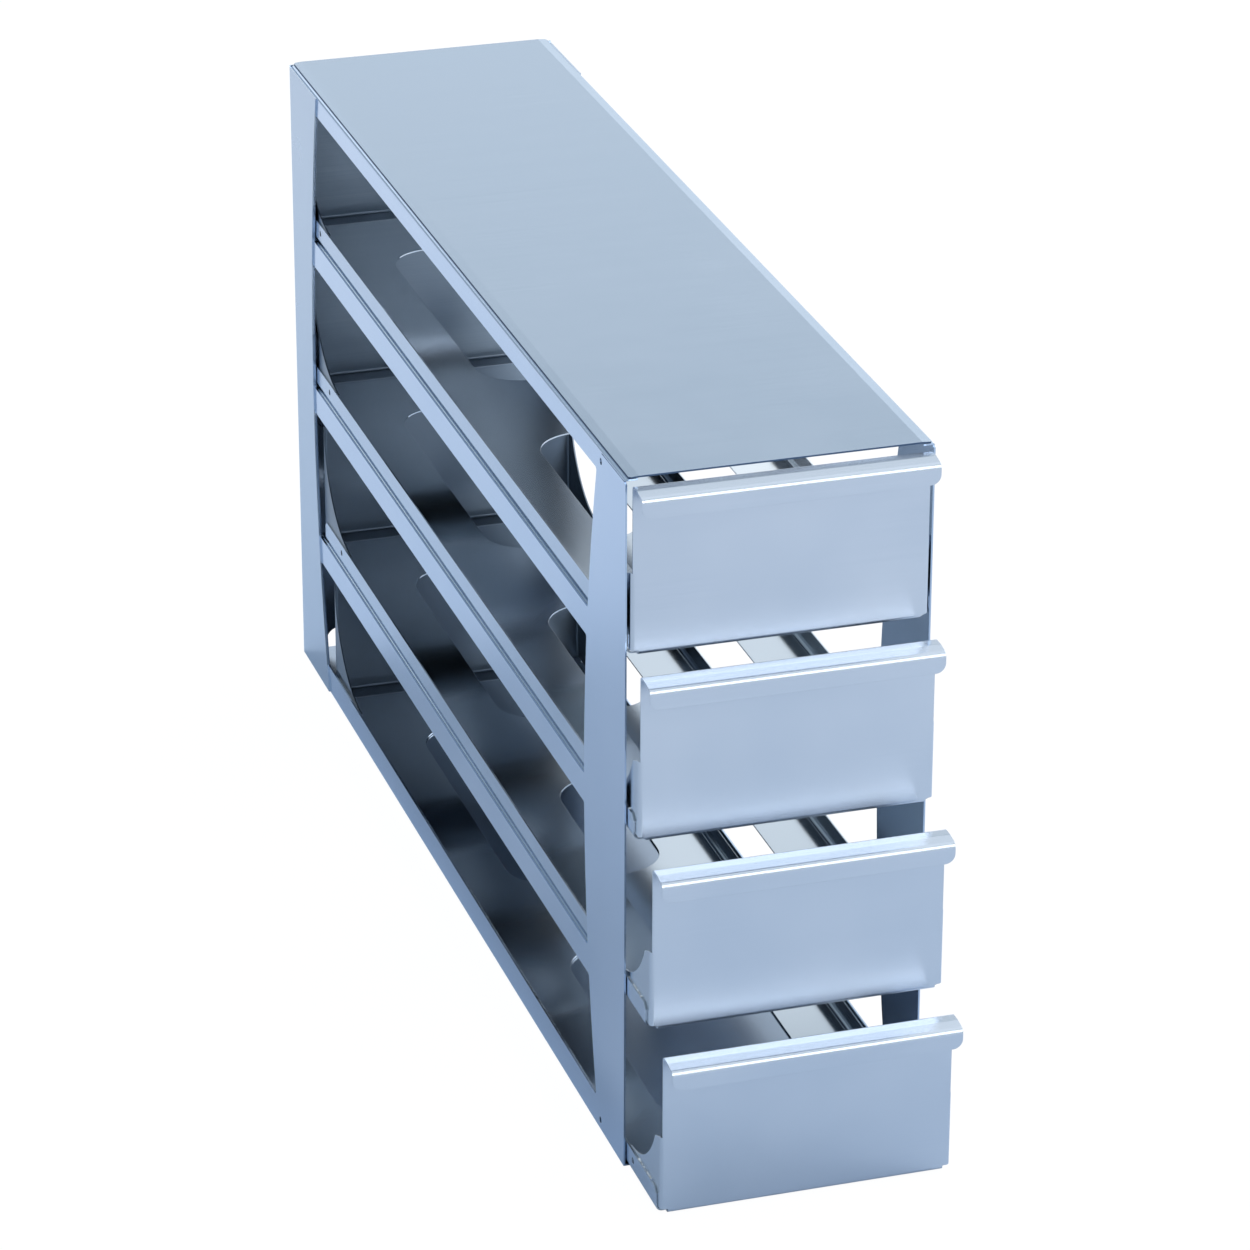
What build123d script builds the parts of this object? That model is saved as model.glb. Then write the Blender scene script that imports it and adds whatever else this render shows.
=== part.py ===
from build123d import *
from math import sqrt
import os

# A stainless steel freezer rack: a welded case with sliding drawers for cryoboxes.
# +X is right, +Y runs from the drawer fronts to the back, +Z is up, millimetres.
# The origin is under the middle of the rack as it stands, with its drawers partly open.

# ---- driving dimensions ----
case_width = 139.0  # over the two side frames
case_depth = 577.0
level_pitch = 83.0  # height of one drawer level
head_room = 1.0  # added above the top level
case_sheet = 0.8
drawer_sheet = 0.7
drawer_pull = [2.0, 14.0, 32.0, 48.0]  # how far each drawer stands open, top to bottom

# side frames: one sheet with a window for each level
base_rail = 14.0  # rail under the lowest window
mid_rail = 13.0  # rail below each drawer level
top_rail = 12.0  # rail above the highest window
window_corner = 1.5
front_post = 60.0  # width of the front post at half height
front_post_bow = 22.0  # how much narrower it is at top and bottom
rear_post = 36.0  # width of the rear post at half height
rear_post_bow = 19.0  # how much wider it is at top and bottom
top_flange = 5.5  # narrow lip turned in under the edge of the top panel
top_fold = 1.6  # outer radius of that fold
slit_length = 34.0  # relief slit under the front end of the fold
slit_width = 0.4
slit_drop = 2.6  # below the top of the case
slit_mouth = 1.3  # square notch where the slit meets the front edge
post_hole = 3.0
post_hole_inset = 35.0  # from the front edge
post_hole_top = 6.7  # below the top of the case
post_hole_base = 4.6  # above the underside

# top panel: its long edges are bent down a little onto the side frames
top_inset = 1.6  # its edges to the faces of the side frames
top_band = 4.5  # width of the bent band along each long edge
top_band_drop = 0.35
top_band_bend = 3.0  # radius of the slight bend
top_corner = 1.5

# runners: angles that carry the upper drawers
runner_width = 12.0
runner_height = 12.0
runner_lap = 5.0  # how far a runner reaches behind each post

# back panel: wraps round the side frames and forms the rear posts
wing_drop = 2.0  # top of the wings below the top of the case
bend_gap = 0.5  # keeps the side frames clear of the inside of its bends
back_notch_height = 12.0
back_notch_side = 11.0  # from the inside of each side frame
back_notch_corner = 8.0

# drawers
back_clearance = 11.0  # closed drawer to the rear face of the case
side_clearance = 0.35  # drawer to side frame
floor_clearance = 0.3  # drawer to runner
wall_height = 11.5  # low side walls of the tray
tray_fold = 3.0  # outer radius of the tray's long folds
tray_inset = 4.6  # tray ends to the faces of front and back
wall_chamfer = 2.5  # cuts the top corners of the tray's walls
opening_width = 79.0  # floor openings
opening_length = 189.0
opening_gap = 70.0
opening_corner = 22.0
wall_hole = 3.0
wall_hole_inset = 38.0  # from the faces of front and back
wall_hole_height = 7.0  # above the underside of the tray
panel_height = 80.5  # top of the front above the level
panel_side_gap = 0.8  # gusset's outer face to the side edge of the upper front
weld_gap = 0.1  # gusset to tray wall
fold = 2.0  # outer radius of the folds of front and back
flange_depth = 12.0  # bottom flange that lies on the tray floor
corner_relief = 1.5
gusset_height = 40.0  # front gusset at the fold, above the level
gusset_slope = 2.8  # fall of its top edge from there to the shoulder
gusset_shoulder = 8.6  # its width at the top
gusset_length = 44.0  # its length at the bottom
gusset_dip = 6.2  # how far the swoop hangs below the straight line
hook_reach = 13.0  # front face of the drawer to the front of the handle
hook_drop = 10.5
hook_corner = 4.5
hook_flat = 6.0  # level part of the handle's top, from the front face
hook_fall = 1.2  # how far the rest slopes down to the front
hook_fold = 2.6  # outer radius of the handle's front fold
hook_crease = 4.0  # radius between the level part and the slope
back_height = 74.0  # top of the drawer's back above the level
back_swoop = 52.0  # radius of the rear gussets' swoop

# ---- sizes that follow ----
levels = len(drawer_pull)
drawer_length = case_depth - back_clearance  # front face to back face
case_height = levels * level_pitch + head_room
front_y = (max(drawer_pull) + hook_reach - case_depth) / 2
back_y = front_y + case_depth
half_width = case_width / 2
inner_half = half_width - case_sheet
tray_half = inner_half - side_clearance
gusset_half = tray_half - drawer_sheet - weld_gap
panel_half = gusset_half - panel_side_gap
tray_z = case_sheet + floor_clearance
floor_top = tray_z + drawer_sheet
wall_top = tray_z + wall_height
web_y = back_y - case_sheet
under_top = case_height - case_sheet - top_band_drop  # where the top panel lies

os.makedirs("parts", exist_ok=True)


def bow(sagitta, z):
    """Depth of a shallow arc, as tall as the case, below its crown at height z."""
    chord = case_height / 2
    radius = (chord**2 + sagitta**2) / (2 * sagitta)
    return radius - sqrt(radius**2 - (z - chord) ** 2)


def front_edge(z):
    """Rear edge of the front post."""
    return front_y + front_post - bow(front_post_bow, z)


def rear_edge(z):
    """Front edge of the rear post."""
    return back_y - rear_post - bow(rear_post_bow, z)


def save(name, part):
    part.label = name
    export_step(part, f"parts/{name}.step")


# ---- side frames ----
# One sheet each: front post, rails and a lip turned in under the top panel. The window
# ends follow the bowed posts.
side_mid = half_width - case_sheet / 2
flange_z = under_top - case_sheet / 2
window_low = base_rail
window_high = case_height - top_rail

with BuildPart() as left_side_frame:
    with BuildSketch(Plane.XZ.offset(-front_y)):
        with BuildLine():
            FilletPolyline(
                (-side_mid, 0),
                (-side_mid, flange_z),
                (-half_width + top_flange, flange_z),
                radius=top_fold - case_sheet / 2,
            )
        trace(line_width=case_sheet)
    extrude(amount=-(case_depth - case_sheet - bend_gap))
    with BuildSketch(Plane.YZ.offset(-half_width)):
        with BuildLine():
            ThreePointArc(
                (front_edge(window_low), window_low),
                (front_edge(case_height / 2), case_height / 2),
                (front_edge(window_high), window_high),
            )
            Line((front_edge(window_high), window_high), (rear_edge(window_high), window_high))
            ThreePointArc(
                (rear_edge(window_high), window_high),
                (rear_edge(case_height / 2), case_height / 2),
                (rear_edge(window_low), window_low),
            )
            Line((rear_edge(window_low), window_low), (front_edge(window_low), window_low))
        make_face()
        for level in range(1, levels):
            rail_middle = level * level_pitch + (case_sheet - mid_rail) / 2
            with Locations((front_y + case_depth / 2, rail_middle)):
                Rectangle(case_depth, mid_rail + case_sheet, mode=Mode.SUBTRACT)
        fillet(vertices(), window_corner)
    extrude(amount=case_sheet, mode=Mode.SUBTRACT)
    hole_y = front_y + post_hole_inset
    with BuildSketch(Plane.YZ.offset(-half_width)):
        with Locations((hole_y, post_hole_base), (hole_y, case_height - post_hole_top)):
            Circle(post_hole / 2)
        slit_z = case_height - slit_drop
        with Locations((front_y + slit_length / 2, slit_z)):
            Rectangle(slit_length, slit_width)
        with Locations((front_y, slit_z)):
            Rectangle(2 * slit_mouth, slit_mouth)
    extrude(amount=top_fold, mode=Mode.SUBTRACT)
save("left_side_frame", left_side_frame.part)

with BuildPart() as right_side_frame:
    mirror(left_side_frame.part, about=Plane.YZ)
save("right_side_frame", right_side_frame.part)

# ---- runners ----
# Angles welded to the inside of the mid rails, one pair for each upper drawer.
runner_start = front_edge(level_pitch) - runner_lap
runner_end = rear_edge(level_pitch) + runner_lap
runner_mid = inner_half - case_sheet / 2

for level in range(1, levels):
    shelf_mid = level * level_pitch + case_sheet / 2
    with BuildPart() as left_runner:
        with BuildSketch(Plane.XZ.offset(-runner_start)):
            with BuildLine():
                FilletPolyline(
                    (-runner_mid, shelf_mid + case_sheet / 2 - runner_height),
                    (-runner_mid, shelf_mid),
                    (-inner_half + runner_width, shelf_mid),
                    radius=case_sheet,
                )
            trace(line_width=case_sheet)
        extrude(amount=-(runner_end - runner_start))
    with BuildPart() as right_runner:
        mirror(left_runner.part, about=Plane.YZ)
    save(f"left_runner_{levels - level}", left_runner.part)
    save(f"right_runner_{levels - level}", right_runner.part)

# ---- back panel ----
# One sheet wrapped round the rear ends of the side frames. Its wings are the rear posts.
wing_mid = half_width + case_sheet / 2
wing_length = rear_post + rear_post_bow + case_sheet

with BuildPart() as back_panel:
    with BuildSketch(Plane.XY):
        with BuildLine():
            FilletPolyline(
                (-wing_mid, back_y - wing_length),
                (-wing_mid, back_y - case_sheet / 2),
                (wing_mid, back_y - case_sheet / 2),
                (wing_mid, back_y - wing_length),
                radius=case_sheet,
            )
        trace(line_width=case_sheet)
    extrude(amount=under_top)
    with BuildSketch(Plane.YZ):
        with BuildLine():
            ThreePointArc(
                (rear_edge(0), 0),
                (rear_edge(case_height / 2), case_height / 2),
                (rear_edge(case_height), case_height),
            )
            beyond = back_y - wing_length - case_sheet
            Polyline(
                (rear_edge(case_height), case_height),
                (beyond, case_height),
                (beyond, 0),
                (rear_edge(0), 0),
            )
        make_face()
        with Locations((web_y - case_depth / 2, case_height * 1.5 - wing_drop)):
            Rectangle(case_depth, case_height)
    extrude(amount=case_width, both=True, mode=Mode.SUBTRACT)
    with BuildSketch(Plane.XZ.offset(-web_y)):
        notch_width = 2 * (inner_half - back_notch_side)
        RectangleRounded(notch_width, 2 * back_notch_height, back_notch_corner)
    extrude(amount=-case_sheet, mode=Mode.SUBTRACT)
save("back_panel", back_panel.part)

# ---- top and base panels ----
top_mid = case_height - case_sheet / 2
top_half = half_width - top_inset

with BuildPart() as top_panel:
    with BuildSketch(Plane.XZ.offset(-front_y)):
        with BuildLine():
            FilletPolyline(
                (-top_half, top_mid - top_band_drop),
                (-top_half + top_band, top_mid),
                (top_half - top_band, top_mid),
                (top_half, top_mid - top_band_drop),
                radius=top_band_bend,
            )
        trace(line_width=case_sheet)
    extrude(amount=-case_depth)
    with BuildSketch(Plane.XY.offset(under_top)):
        with Locations((0, front_y + case_depth / 2)):
            RectangleRounded(2 * top_half, case_depth, top_corner)
    extrude(amount=case_height - under_top, mode=Mode.INTERSECT)
save("top_panel", top_panel.part)

with BuildPart() as base_panel:
    with BuildSketch(Plane.XY):
        with Locations((0, (front_y + web_y) / 2)):
            Rectangle(2 * inner_half, web_y - front_y)
    extrude(amount=case_sheet)
save("base_panel", base_panel.part)


# ---- drawers ----
def drawer_tray(face_y, level_z):
    """Floor with two large openings, and a low wall folded up along each side."""
    start = face_y + tray_inset
    length = drawer_length - 2 * tray_inset
    wall_mid = tray_half - drawer_sheet / 2
    floor_mid = level_z + tray_z + drawer_sheet / 2
    middle = face_y + drawer_length / 2
    with BuildPart() as tray:
        with BuildSketch(Plane.XZ.offset(-start)):
            with BuildLine():
                FilletPolyline(
                    (-wall_mid, level_z + wall_top),
                    (-wall_mid, floor_mid),
                    (wall_mid, floor_mid),
                    (wall_mid, level_z + wall_top),
                    radius=tray_fold - drawer_sheet / 2,
                )
            trace(line_width=drawer_sheet)
        extrude(amount=-length)
        with BuildSketch(Plane.XY.offset(level_z + tray_z)):
            step = (opening_length + opening_gap) / 2
            with Locations((0, middle - step), (0, middle + step)):
                RectangleRounded(opening_width, opening_length, opening_corner)
        extrude(amount=drawer_sheet, mode=Mode.SUBTRACT)
        with BuildSketch(Plane.YZ):
            hole_step = drawer_length / 2 - wall_hole_inset
            hole_z = level_z + tray_z + wall_hole_height
            with Locations((middle - hole_step, hole_z), (middle + hole_step, hole_z)):
                Circle(wall_hole / 2)
        extrude(amount=case_width, both=True, mode=Mode.SUBTRACT)
        chamfer(tray.edges().filter_by(Axis.X).group_by(Axis.Z)[-1], wall_chamfer)
    return tray.part


def end_panel(face_y, level_z, inward, height, shoulder_z, profile_tail, tail_radii, swoop):
    """Front or back of a drawer: a panel with a bottom flange and two side gussets.

    inward is +1 where the inside of the drawer lies towards +Y. profile_tail carries the
    section on from the panel's top, and swoop gives a gusset's outline from its shoulder.
    """
    mid = drawer_sheet / 2
    fold_mid = fold - mid
    low = level_z + floor_top
    top = level_z + height
    shoulder = level_z + shoulder_z
    gusset_low = low + tray_fold - drawer_sheet
    panel_mid = face_y + inward * mid
    with BuildPart() as panel:
        with BuildSketch(Plane.YZ):
            with BuildLine():
                FilletPolyline(
                    (face_y + inward * flange_depth, low + mid),
                    (panel_mid, low + mid),
                    *profile_tail,
                    radius=[fold_mid, *tail_radii],
                )
            trace(line_width=drawer_sheet)
        extrude(amount=panel_half, both=True)
        # below the gussets' shoulders the side edges fold back into the gussets
        edge_cut = fold - panel_side_gap + corner_relief
        with BuildSketch(Plane.XZ.offset(-face_y)):
            with Locations((panel_half, (low + shoulder) / 2), (-panel_half, (low + shoulder) / 2)):
                Rectangle(2 * edge_cut, shoulder - low)
        extrude(amount=-inward * flange_depth, mode=Mode.SUBTRACT)
        for side in (-1, 1):
            gusset_mid = side * (gusset_half - mid)
            with BuildSketch(Plane.XY.offset(gusset_low)):
                with BuildLine():
                    root = Line(
                        (side * (panel_half - edge_cut), panel_mid),
                        (gusset_mid - side * fold_mid, panel_mid),
                    )
                    TangentArc(root @ 1, (gusset_mid, face_y + inward * fold), tangent=(side, 0))
                trace(line_width=drawer_sheet)
            extrude(amount=shoulder - gusset_low)
            with BuildSketch(Plane.YZ.offset(side * gusset_half)):
                with BuildLine():
                    swoop(face_y, level_z, gusset_low)
                make_face()
            extrude(amount=-side * drawer_sheet)
    return panel.part


def front_swoop(face_y, level_z, low):
    """Front gusset: a shoulder beside the front, then a hollow curve down to the tray wall."""
    corner = (face_y + fold, level_z + gusset_height)
    shoulder = (face_y + gusset_shoulder, level_z + gusset_height - gusset_slope)
    foot = (face_y + gusset_length, level_z + wall_top)
    between = ((shoulder[0] + foot[0]) / 2, (shoulder[1] + foot[1]) / 2)
    run = foot[0] - shoulder[0]
    fall = shoulder[1] - foot[1]
    slope = sqrt(run**2 + fall**2)
    dip = (between[0] - gusset_dip * fall / slope, between[1] - gusset_dip * run / slope)
    ThreePointArc(shoulder, dip, foot)
    Polyline(
        foot,
        (foot[0], low),
        (corner[0], low),
        corner,
        shoulder,
    )


def back_swoop_line(face_y, level_z, low):
    """Rear gusset: a quarter circle from the back's side edge down to the tray wall."""
    edge_y = face_y - fold
    foot_z = level_z + wall_top
    RadiusArc((edge_y, foot_z + back_swoop), (edge_y - back_swoop, foot_z), back_swoop)
    Polyline(
        (edge_y - back_swoop, foot_z),
        (edge_y - back_swoop, low),
        (edge_y, low),
        (edge_y, foot_z + back_swoop),
    )


for number, pull in enumerate(drawer_pull, start=1):
    level_z = (levels - number) * level_pitch
    face_y = front_y - pull
    rear_y = face_y + drawer_length
    mid = drawer_sheet / 2
    panel_top = level_z + panel_height - mid
    hook_y = face_y - hook_reach + mid
    hook_tail = [
        (face_y + mid, panel_top),
        (face_y - hook_flat, panel_top),
        (hook_y, panel_top - hook_fall),
        (hook_y, panel_top + mid - hook_drop),
    ]
    back_tail = [(rear_y - mid, level_z + back_height)]
    hook_radii = [fold - mid, hook_crease, hook_fold - mid]
    front = end_panel(
        face_y, level_z, 1, panel_height, gusset_height, hook_tail, hook_radii, front_swoop
    )
    back = end_panel(
        rear_y, level_z, -1, back_height, wall_top + back_swoop, back_tail, [], back_swoop_line
    )
    with BuildPart() as drawer_front:
        add(front)
        flange_end = drawer_front.edges().filter_by(Axis.Y).group_by(Axis.Y)[0]
        fillet(flange_end.group_by(Axis.Z)[0], hook_corner)
    save(f"drawer_tray_{number}", drawer_tray(face_y, level_z))
    save(f"drawer_front_{number}", drawer_front.part)
    save(f"drawer_back_{number}", back)
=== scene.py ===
from math import pi, radians

import bpy
import numpy as np
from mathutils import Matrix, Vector


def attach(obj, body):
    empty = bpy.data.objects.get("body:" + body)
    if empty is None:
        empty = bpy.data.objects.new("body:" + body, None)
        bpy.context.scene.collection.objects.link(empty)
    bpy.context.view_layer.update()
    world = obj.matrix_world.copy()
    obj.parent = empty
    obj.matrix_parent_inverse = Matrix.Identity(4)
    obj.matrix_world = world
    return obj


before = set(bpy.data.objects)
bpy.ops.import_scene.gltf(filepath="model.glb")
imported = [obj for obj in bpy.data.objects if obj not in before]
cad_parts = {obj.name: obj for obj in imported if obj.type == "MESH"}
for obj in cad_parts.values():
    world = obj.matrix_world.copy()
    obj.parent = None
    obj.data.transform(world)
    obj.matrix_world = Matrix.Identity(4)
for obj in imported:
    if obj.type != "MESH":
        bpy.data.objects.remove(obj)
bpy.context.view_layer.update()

# ---- side frames ----
# The two sides of the case are single laser-cut sheets of 0.8 mm stainless steel (304),
# each with a bowed front post and four window openings. They are polished along their
# length with a fine belt, grit 180, before they are cut and folded.


def linear(code):
    """sRGB hex to linear colour: c / 12.92 up to 0.04045, else ((c + 0.055) / 1.055)^2.4."""
    c = np.array([int(code[i : i + 2], 16) for i in (1, 3, 5)]) / 255
    rgb = np.where(c <= 0.04045, c / 12.92, ((c + 0.055) / 1.055) ** 2.4)
    return (*rgb.tolist(), 1.0)


def add(tree, kind, inputs=(), **settings):
    """One node of a material, with its settings, and its sockets' values or links."""
    node = tree.nodes.new(kind)
    for name, value in settings.items():
        setattr(node, name, value)
    for key, value in dict(inputs).items():
        if isinstance(value, bpy.types.NodeSocket):
            tree.links.new(value, node.inputs[key])
        else:
            node.inputs[key].default_value = value
    return node


def belt_polished(
    name, steel, shade, grain, rough,
    mark=0.05, spread=0.8, outward=None, inside=None, underside_shade=None, face=None,
):
    """Stainless sheet polished with a belt: a bright metal with soft reflections, very fine
    lines along the grain, slight clouding and a few stray scratches.

    The colour moves between steel and its darker shade, and rough is the middle roughness.
    grain gives the direction of the lines, (1, 0, 0) for lines along X, mark how strongly
    the scratches show, and spread how far the lines draw a reflection out. The face that
    looks along outward, away from the middle of the rack, is the polished one. The other
    has the smoother and less blue mill finish, whose colour and roughness inside gives;
    its undersides get a darker colour from the argument after inside, a painted shade.
    face is the axis square to a sheet that is flat all over: its cut edges are painted
    dark and matt, painted shade for the groove beside them.
    """
    material = bpy.data.materials.new(name)
    material.use_nodes = True
    tree = material.node_tree
    shader = tree.nodes["Principled BSDF"]
    coords = add(tree, "ShaderNodeTexCoord").outputs
    place = coords["Object"]

    # the real lines lie about 0.1 mm apart, too fine to show: drawn 0.4 mm apart, 120 mm long
    line_length, line_gap = 0.120, 0.0004
    stretch = [1 / (line_length if g else line_gap) for g in grain]
    drawn = add(tree, "ShaderNodeMapping", {"Vector": place, "Scale": stretch})
    lines = add(tree, "ShaderNodeTexNoise", {"Vector": drawn.outputs[0], "Scale": 1.0, "Detail": 2.0})
    cloud_size = 0.060
    cloud = add(tree, "ShaderNodeTexNoise", {"Vector": place, "Scale": 1 / cloud_size, "Detail": 2.0})

    # stray scratches, 30 mm long and set 8 degrees off the grain, are the peaks of a noise
    scratch_length, scratch_gap, off_grain = 0.030, 0.0012, radians(8)
    stretch = [1 / (scratch_length if g else scratch_gap) for g in grain]
    drawn = add(
        tree, "ShaderNodeMapping", {"Vector": place, "Scale": stretch, "Rotation": [off_grain] * 3}
    )
    stray = add(tree, "ShaderNodeTexNoise", {"Vector": drawn.outputs[0], "Scale": 1.0, "Detail": 1.0})
    scratch = add(
        tree, "ShaderNodeMapRange", {"Value": stray.outputs["Fac"], "From Min": 0.72, "From Max": 0.80}
    )

    # clouding, and the lines half as much, shift the colour from the shade to the bright steel
    line_weight = 0.5
    tone = add(
        tree, "ShaderNodeMath",
        {0: lines.outputs["Fac"], 1: line_weight, 2: cloud.outputs["Fac"]}, operation="MULTIPLY_ADD",
    )
    tone = add(tree, "ShaderNodeMapRange", {"Value": tone.outputs[0], "From Min": 0.4, "From Max": 1.1})
    colour = add(
        tree, "ShaderNodeMix",
        {"Factor": tone.outputs[0], 6: linear(shade), 7: linear(steel)}, data_type="RGBA",
    ).outputs[2]
    clouding = 0.02
    gloss = add(
        tree, "ShaderNodeMapRange",
        {"Value": cloud.outputs["Fac"], "From Min": 0.3, "From Max": 0.7,
         "To Min": rough - clouding, "To Max": rough + clouding},
    ).outputs[0]

    look = add(tree, "ShaderNodeSeparateXYZ", {0: coords["Normal"]})
    if outward:
        # outward along X turns round at the middle of the rack: the normal's X times x's sign
        outer = look.outputs[outward]
        if outward == "X":
            half = add(tree, "ShaderNodeSeparateXYZ", {0: place})
            half = add(tree, "ShaderNodeMath", {0: half.outputs["X"]}, operation="SIGN")
            outer = add(
                tree, "ShaderNodeMath", {0: outer, 1: half.outputs[0]}, operation="MULTIPLY"
            ).outputs[0]
        least_outward, most_downward = 0.4, -0.5
        inner = add(tree, "ShaderNodeMath", {0: outer, 1: least_outward}, operation="LESS_THAN")
        # painted shade: faces that look down get the darker colour given for undersides
        painted_under_mask = add(
            tree, "ShaderNodeMath", {0: look.outputs["Z"], 1: most_downward}, operation="LESS_THAN"
        )
        inside_colour, inside_rough = inside
        mill = add(
            tree, "ShaderNodeMix",
            {"Factor": painted_under_mask.outputs[0], 6: linear(inside_colour), 7: linear(underside_shade or inside_colour)},
            data_type="RGBA",
        )
        colour = add(
            tree, "ShaderNodeMix",
            {"Factor": inner.outputs[0], 6: colour, 7: mill.outputs[2]}, data_type="RGBA",
        ).outputs[2]
        gloss = add(
            tree, "ShaderNodeMix", {"Factor": inner.outputs[0], 2: gloss, 3: inside_rough}
        ).outputs[0]
    if face:
        # painted shade: a flat sheet's cut edges get a dark, matt colour, standing for the shadow in the
        # groove beside them
        painted_edge_shade, painted_edge_rough, least_square = "#4C607C", 0.5, 0.3
        square = add(tree, "ShaderNodeMath", {0: look.outputs[face]}, operation="ABSOLUTE")
        cut = add(tree, "ShaderNodeMath", {0: square.outputs[0], 1: least_square}, operation="LESS_THAN")
        colour = add(
            tree, "ShaderNodeMix",
            {"Factor": cut.outputs[0], 6: colour, 7: linear(painted_edge_shade)}, data_type="RGBA",
        ).outputs[2]
        gloss = add(
            tree, "ShaderNodeMix", {"Factor": cut.outputs[0], 2: gloss, 3: painted_edge_rough}
        ).outputs[0]

    edge_radius, scratch_depth = 0.00015, 0.00003
    rounded = add(tree, "ShaderNodeBevel", {"Radius": edge_radius}, samples=4)
    bump = add(
        tree, "ShaderNodeBump",
        {"Height": scratch.outputs[0], "Strength": mark, "Distance": scratch_depth,
         "Normal": rounded.outputs[0]},
    )
    # the lines spread a reflection across themselves, so the tangent is square to the grain:
    # its small part takes over on the faces that its large part stands square to
    across = {(1, 0, 0): (0, 0.05, 1), (0, 1, 0): (0.05, 0, 1), (0, 0, 1): (1, 1, 0)}[grain]
    tangent = add(tree, "ShaderNodeCombineXYZ", enumerate(across))
    tree.links.new(tangent.outputs[0], shader.inputs["Tangent"])
    tree.links.new(colour, shader.inputs["Base Color"])
    tree.links.new(gloss, shader.inputs["Roughness"])
    tree.links.new(bump.outputs[0], shader.inputs["Normal"])
    shader.inputs["Anisotropic"].default_value = spread
    shader.inputs["Metallic"].default_value = 1.0
    return material


def finish_node(name, material):
    """Gives a CAD node its finish in the material slots that it already has."""
    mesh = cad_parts[name].data
    for i in range(len(mesh.materials)):
        mesh.materials[i] = material


# the fine belt leaves a clear but soft mirror, with little drawing out along these long rails
side_steel = belt_polished(
    "side_frame_belt_polished_304", "#DDE9FB", "#D2E1F6", (0, 1, 0), 0.17,
    spread=0.3, outward="X", inside=("#BFD0E6", 0.18),
)
for name in ("left_side_frame", "right_side_frame"):
    finish_node(name, side_steel)

# ---- runners ----
# Angles of the same sheet, spot-welded inside the middle rails. The drawers slide on them,
# so they are rubbed smooth and show more scratches than the frames.
runner_steel = belt_polished("runner_rubbed_304", "#D2DEEC", "#C0CEDC", (0, 1, 0), 0.16, mark=0.12)
for number in (1, 2, 3):
    finish_node(f"left_runner_{number}", runner_steel)
    finish_node(f"right_runner_{number}", runner_steel)

# ---- back panel ----
# One sheet of the same steel, wrapped round the rear ends of the side frames and welded
# to them. Its wings are the rear posts. The belt ran up the sheet, so the reflections in
# the posts are softer than in the rails and drawn out sideways.
back_steel = belt_polished("back_panel_belt_polished_304", "#DDE7F3", "#D2DEED", (0, 0, 1), 0.26)
finish_node("back_panel", back_steel)

# ---- top and base panels ----
# Flat sheets of 0.8 mm steel, welded over and between the side frames and polished across
# the case. The top mirrors the room as an even, soft tone, and its cut edges are painted
# dark, painted shade for the groove beside them.
top_steel = belt_polished(
    "top_panel_belt_polished_304", "#C2CFDF", "#B3C2D3", (1, 0, 0), 0.24,
    outward="Z", inside=("#ECEEF0", 0.15), face="Z",
)
finish_node("top_panel", top_steel)
# the drawer slides on the base, which scratches it; its colour is darker and greyer than the other
# sheets'
base_steel = belt_polished(
    "base_panel_belt_polished_304", "#B4C0CF", "#A8B5C6", (1, 0, 0), 0.20, mark=0.12
)
finish_node("base_panel", base_steel)

# ---- drawers ----
# Folded from 0.7 mm sheet that is polished on its outer face only: the fronts across, the
# trays along their length. The inside of the trays and the backs keep the mill finish
# (2B) of cold-rolled sheet, greyer than the polished steel.
front_steel = belt_polished("drawer_front_belt_polished_304", "#DBE2EC", "#CFD8E4", (1, 0, 0), 0.23)
# painted shade: the lower drawers' insides, undersides and backs get darker colours than the top
# drawer's, standing for the deeper shade in the lower levels of the rack
tray_inside_mill_and_level_shade = ("#E6EAEE", "#CAD2DA", "#C8D0D8", "#C8D0D8")
tray_underside_shade = ("#9AA2A9", "#798189", "#78808A", "#78808A")
back_mill_and_level_shade = ("#939EAA", "#8A95A1", "#76818D", "#7C8793")
for number, (inside, underside_shade, tone) in enumerate(zip(tray_inside_mill_and_level_shade, tray_underside_shade, back_mill_and_level_shade), start=1):
    # a smooth mill surface inside, which mirrors the box above it, and a scratched outside; the
    # undersides get a darker colour, painted shade
    tray_steel = belt_polished(
        f"tray_{number}_one_side_polished_304", "#D2DEEE", "#C8D6E8", (0, 1, 0), 0.22,
        mark=0.12, outward="X", inside=(inside, 0.12), underside_shade=underside_shade,
    )
    # mill finish gives the backs a dull, even grey that brightens only a little in the light; the grey
    # is painted darker than mill sheet, and darker again in the lower drawers, as painted shade of the
    # rack's inside
    rear_steel = belt_polished(
        f"drawer_back_{number}_mill_finish_304", tone, "#7C8793", (1, 0, 0), 0.30
    )
    finish_node(f"drawer_tray_{number}", tray_steel)
    finish_node(f"drawer_front_{number}", front_steel)
    finish_node(f"drawer_back_{number}", rear_steel)

# ---- tack welds ----
# Each front gusset is tacked to the top of the tray's wall with two small beads and a run
# of weld between them, left bright where the metal flowed and straw to blue beside it.
bead_back = (0.0252, 0.0441)  # the two beads, behind the foremost line of the handle
bead_half = 0.0012  # from a bead's middle to where it meets the run
weld_gap = 0.0001  # between gusset and wall, which the weld bridges
run_width, run_height = 0.00028, 0.00016  # half the run's width, and its height
bead_width, bead_height = 0.00042, 0.00040  # what a bead adds to them
end_length = 0.0008  # over which the weld rounds off at each end


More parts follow.
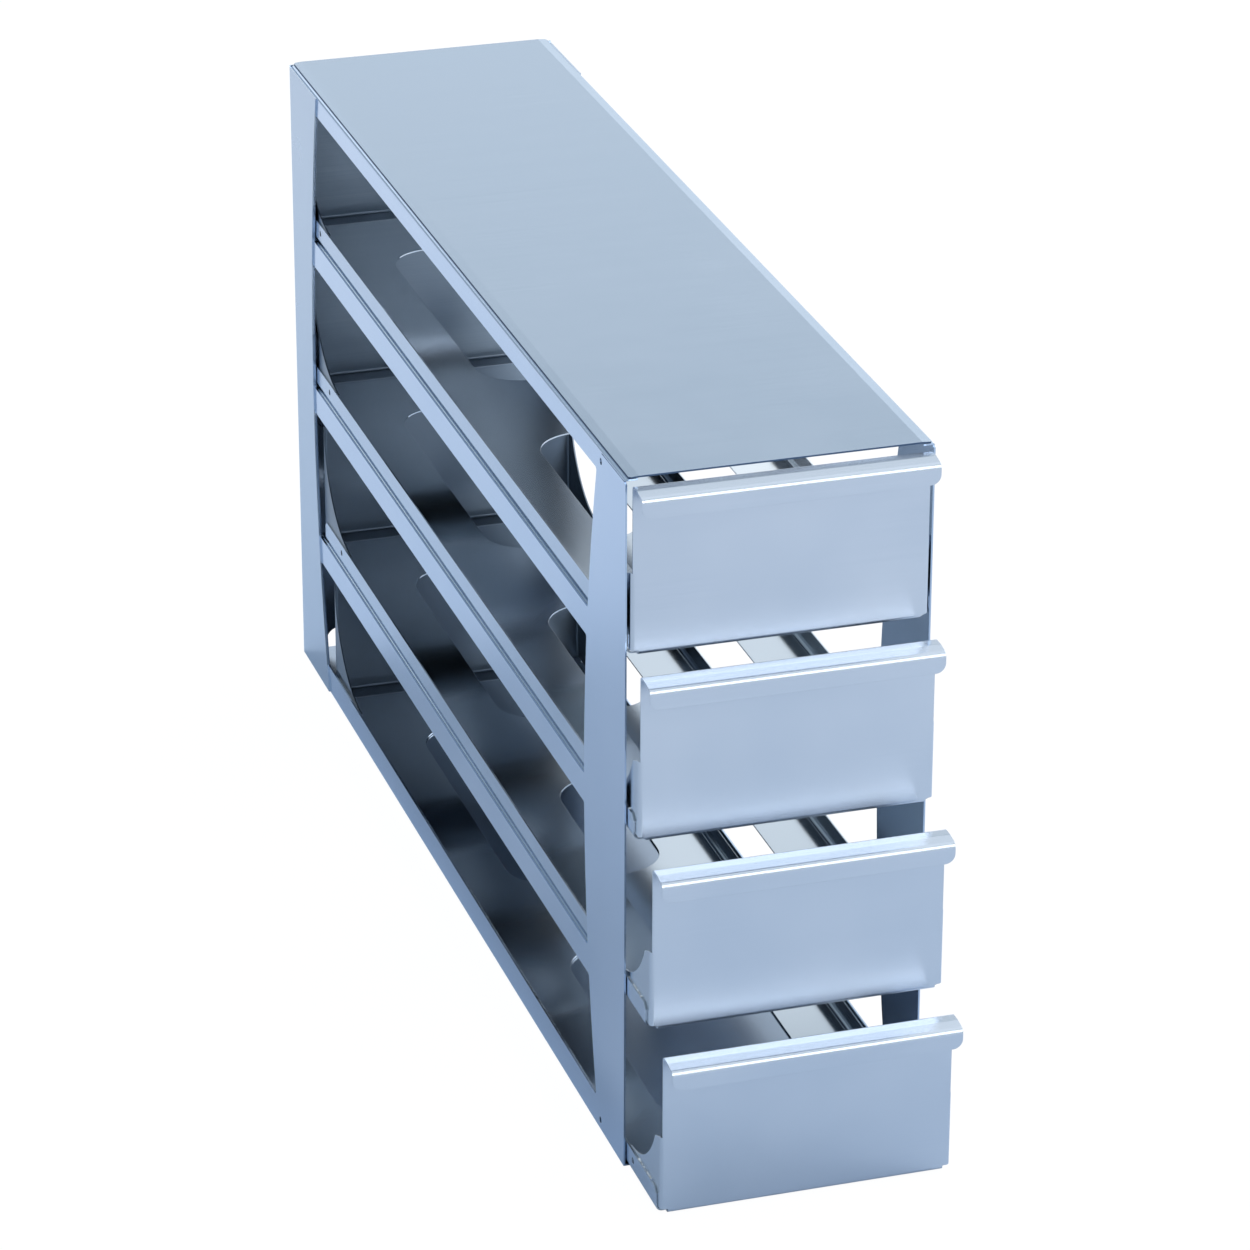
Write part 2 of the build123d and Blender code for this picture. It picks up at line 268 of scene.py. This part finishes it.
def weld_metal():
    """Bare weld: glossy, rippled about 0.4 mm apart, tinted straw and blue by the heat."""
    material = bpy.data.materials.new("bare_tack_weld")
    material.use_nodes = True
    tree = material.node_tree
    shader = tree.nodes["Principled BSDF"]
    place = add(tree, "ShaderNodeTexCoord").outputs["Object"]
    tint_size, ripple_gap, ripple_depth = 0.0016, 0.0004, 0.00006
    heat = add(tree, "ShaderNodeTexNoise", {"Vector": place, "Scale": 1 / tint_size, "Detail": 1.0})
    tint = add(tree, "ShaderNodeValToRGB", {"Fac": heat.outputs["Fac"]})
    blue, straw, bare = linear("#8E9DB4"), linear("#D2CBBE"), linear("#F0F3F6")
    ramp = tint.color_ramp
    ramp.elements[0].position, ramp.elements[0].color = 0.35, blue
    ramp.elements[1].position, ramp.elements[1].color = 0.62, bare
    ramp.elements.new(0.5).color = straw
    ripple = add(tree, "ShaderNodeTexNoise", {"Vector": place, "Scale": 1 / ripple_gap, "Detail": 0.0})
    bump = add(
        tree, "ShaderNodeBump",
        {"Height": ripple.outputs["Fac"], "Strength": 0.4, "Distance": ripple_depth},
    )
    tree.links.new(tint.outputs[0], shader.inputs["Base Color"])
    tree.links.new(bump.outputs[0], shader.inputs["Normal"])
    shader.inputs["Metallic"].default_value = 1.0
    shader.inputs["Roughness"].default_value = 0.22
    return material


def extent(name):
    """The least and the greatest x, y and z of a CAD node's points."""
    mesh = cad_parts[name].data
    points = np.empty(3 * len(mesh.vertices), dtype=np.float32)
    mesh.vertices.foreach_get("co", points)
    points = points.reshape(-1, 3).astype(float)
    return points.min(axis=0), points.max(axis=0)


def weld_run(side, gusset_x, handle_y, wall_top):
    """A run of weld along Y on the top of a tray wall: half an ellipse across, whose width
    and height swell from the thin run to a bead at each end by the square of the cosine of
    the distance from the bead's middle, and shrink to its tips by a square root.
    """
    beads = [handle_y + back for back in bead_back]
    start, end = beads[0] - bead_half, beads[1] + bead_half
    along, around, tip = 97, 13, 0.05  # points along and around it, and what its tips shrink to
    y = np.linspace(start, end, along)[:, None]
    near = np.minimum(abs(y - beads[0]), abs(y - beads[1]))
    swell = np.where(near < bead_half, np.cos(near / bead_half * pi / 2) ** 2, 0)
    ends = np.clip(np.minimum(y - start, end - y) / end_length, tip, 1) ** 0.5
    turn = np.linspace(0, pi, around)[None, :]
    half = (run_width + bead_width * swell) * ends
    tall = (run_height + bead_height * swell) * ends
    x = side * (gusset_x + weld_gap / 2 + half * np.cos(turn))
    z = wall_top + tall * np.sin(turn)
    grid = np.stack(np.broadcast_arrays(x, y, z), axis=-1)
    corner = (np.arange(along - 1)[:, None] * around + np.arange(around - 1)[None, :]).ravel()
    faces = np.stack([corner, corner + 1, corner + around + 1, corner + around], axis=1)
    if side > 0:
        faces = faces[:, ::-1]
    mesh = bpy.data.meshes.new("weld_run")
    mesh.from_pydata(grid.reshape(-1, 3).tolist(), [], faces.tolist())
    mesh.shade_smooth()
    return mesh


weld = weld_metal()
for number in (1, 2, 3, 4):
    (_, handle_y, _), (gusset_x, _, _) = extent(f"drawer_front_{number}")
    wall_top = extent(f"drawer_tray_{number}")[1][2]
    for side, word in ((-1, "left"), (1, "right")):
        mesh = weld_run(side, gusset_x, handle_y, wall_top)
        mesh.materials.append(weld)
        run = bpy.data.objects.new(f"weld_run_{word}_{number}", mesh)
        bpy.context.collection.objects.link(run)
        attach(run, f"drawer_{number}")

# ---- floor, light and camera ----
# A table covered with white paper, in a pale blue room. Soft boxes hang over the rack and
# stand at its right, left, front and back, so that every polished face has a wide, even
# light to mirror. The camera sees the paper and the room as white.
bpy.ops.mesh.primitive_plane_add(size=16)
table = bpy.context.object
table.name = "studio_table"
paper = bpy.data.materials.new("studio_paper_white")
paper.use_nodes = True
tree = paper.node_tree
tree.nodes.clear()
ray = add(tree, "ShaderNodeLightPath")
# to the camera the paper is mostly its own white, and the lit rest keeps the rack's shadow
own_white, white_strength = 0.92, 1.06
seen = add(
    tree, "ShaderNodeMath",
    {0: ray.outputs["Is Camera Ray"], 1: ray.outputs["Is Transmission Ray"]}, operation="MAXIMUM",
)
seen = add(tree, "ShaderNodeMath", {0: seen.outputs[0], 1: own_white}, operation="MULTIPLY")
# the steel mirrors some of that white too, but not within 0.35 m of the origin: a painted shadow of the
# rack on the paper, as the steel mirrors it
shaded_within, clear_beyond, mirrored_white = 0.35, 1.2, 0.3
place = add(tree, "ShaderNodeTexCoord").outputs["Object"]
away = add(tree, "ShaderNodeVectorMath", {0: place}, operation="LENGTH")
clear = add(
    tree, "ShaderNodeMapRange",
    {"Value": away.outputs["Value"], "From Min": shaded_within, "From Max": clear_beyond,
     "To Min": 0.0, "To Max": mirrored_white},
)
mirrored = add(
    tree, "ShaderNodeMath", {0: ray.outputs["Is Glossy Ray"], 1: clear.outputs[0]}, operation="MULTIPLY"
)
share = add(tree, "ShaderNodeMath", {0: seen.outputs[0], 1: mirrored.outputs[0]}, operation="MAXIMUM")
matt = add(tree, "ShaderNodeBsdfDiffuse", {"Color": linear("#D2DCEA")})
white = add(tree, "ShaderNodeEmission", {"Color": (1, 1, 1, 1), "Strength": white_strength})
mixed = add(tree, "ShaderNodeMixShader", {0: share.outputs[0], 1: matt.outputs[0], 2: white.outputs[0]})
add(tree, "ShaderNodeOutputMaterial", {"Surface": mixed.outputs[0]})
table.data.materials.append(paper)

world = bpy.data.worlds.new("studio_room")
bpy.context.scene.world = world
world.use_nodes = True
tree = world.node_tree
tree.nodes.clear()
ray = add(tree, "ShaderNodeLightPath")
room_light, mirrored_white = 0.41, 0.1
room = add(tree, "ShaderNodeBackground", {"Color": (0.63, 0.83, 1.0, 1), "Strength": room_light})
wall = add(tree, "ShaderNodeBackground", {"Color": (1, 1, 1, 1), "Strength": 1.0})
seen = add(
    tree, "ShaderNodeMath",
    {0: ray.outputs["Is Camera Ray"], 1: ray.outputs["Is Transmission Ray"]}, operation="MAXIMUM",
)
mirrored = add(
    tree, "ShaderNodeMath", {0: ray.outputs["Is Glossy Ray"], 1: mirrored_white}, operation="MULTIPLY"
)
share = add(tree, "ShaderNodeMath", {0: seen.outputs[0], 1: mirrored.outputs[0]}, operation="MAXIMUM")
mixed = add(tree, "ShaderNodeMixShader", {0: share.outputs[0], 1: room.outputs[0], 2: wall.outputs[0]})
add(tree, "ShaderNodeOutputWorld", {"Surface": mixed.outputs[0]})


def soft_box(name, place, aim, width, height, power):
    """A rectangular studio lamp, in metres and watts, that faces the point aim."""
    lamp = bpy.data.lights.new(name, "AREA")
    lamp.shape = "RECTANGLE"
    lamp.size, lamp.size_y, lamp.energy = width, height, power
    holder = bpy.data.objects.new(name, lamp)
    bpy.context.collection.objects.link(holder)
    holder.location = place
    away = Vector(place) - Vector(aim)
    holder.rotation_euler = away.to_track_quat("Z", "Y").to_euler()


soft_box("soft_box_over", place=(0.8, 0.5, 2.2), aim=(0.8, 0.5, 0), width=2.4, height=3.2, power=14)
soft_box("soft_box_right", place=(2.2, 0.9, 1.65), aim=(0.3, 0.4, 0), width=1.8, height=1.8, power=32)
soft_box("soft_box_back", place=(0.9, 3.2, 0.95), aim=(0.2, 0, 0.5), width=4.0, height=1.9, power=16)
soft_box("soft_box_left", place=(-1.3, 1.3, 1.6), aim=(-0.5, 0.9, 0), width=1.6, height=1.6, power=8)
soft_box("soft_box_front", place=(1.0, -3.0, 2.0), aim=(0, 0, 0.2), width=3.0, height=2.2, power=42)

camera = bpy.data.objects.new("camera", bpy.data.cameras.new("camera"))
bpy.context.collection.objects.link(camera)
camera.location = (-0.68197, -2.20575, 1.19022)
camera.rotation_euler = (radians(65.621), radians(-0.136), radians(-17.394))
camera.data.lens = 151.81
camera.data.sensor_width = 36
camera.data.clip_start = 0.05
bpy.context.scene.camera = camera
bpy.context.scene.view_settings.view_transform = "Standard"
